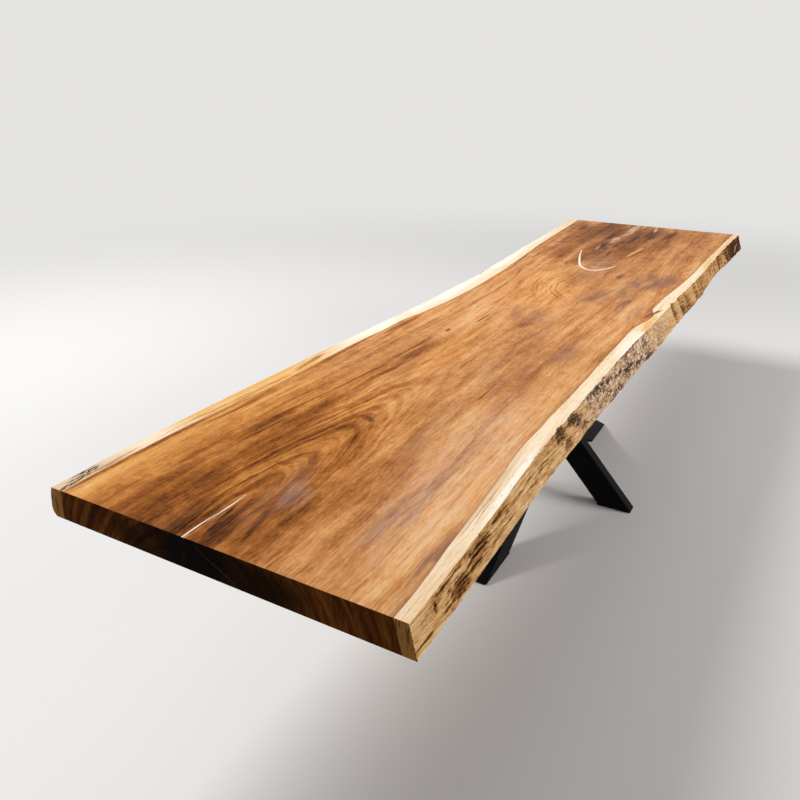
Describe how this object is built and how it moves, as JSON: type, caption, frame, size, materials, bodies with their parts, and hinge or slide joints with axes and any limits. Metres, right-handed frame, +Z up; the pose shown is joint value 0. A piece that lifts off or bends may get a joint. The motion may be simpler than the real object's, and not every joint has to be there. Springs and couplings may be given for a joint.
{
  "type": "live edge dining table",
  "caption": "Long dining table: a thick solid wood slab with natural live edges and square-cut ends on a central base of crossed black steel bars.",
  "frame": {"origin": "on the floor, under the middle of the slab's box", "axes": "+X along the slab towards the end that is far in the picture, +Y across towards the picture's left edge, +Z up"},
  "size_m": [3.69, 1, 0.76],
  "materials": {
    "slab_wood": "satin lacquer",
    "crack_resin": "sanded flush, satin",
    "black_powder_coat": "matte powder coat",
    "foot_rubber": "matte",
    "zinc_steel": "zinc plated",
    "insert_brass": "plain"
  },
  "bodies": {
    "root": {"slab_top": "slab_wood", "resin_fill_near_end": "crack_resin", "resin_fill_far_end": "crack_resin", "resin_fill_far_curve": "crack_resin", "cross_bar_through": "black_powder_coat", "cross_bar_lower": "black_powder_coat", "cross_bar_upper": "black_powder_coat", "long_bar_near_lower": "black_powder_coat", "long_bar_near_upper": "black_powder_coat", "long_bar_far_lower": "black_powder_coat", "long_bar_far_upper": "black_powder_coat", "foot_plate_right": "black_powder_coat", "foot_plate_left": "black_powder_coat", "foot_plate_near": "black_powder_coat", "foot_plate_far": "black_powder_coat", "foot_pad_right": "foot_rubber", "foot_pad_left": "foot_rubber", "foot_pad_near": "foot_rubber", "foot_pad_far": "foot_rubber", "mount_plate_right": "black_powder_coat", "mount_plate_left": "black_powder_coat", "mount_plate_near": "black_powder_coat", "mount_plate_far": "black_powder_coat", "mount_bolts": "zinc_steel", "mount_washers": "zinc_steel", "threaded_inserts": "insert_brass"}
  },
  "joints": []
}
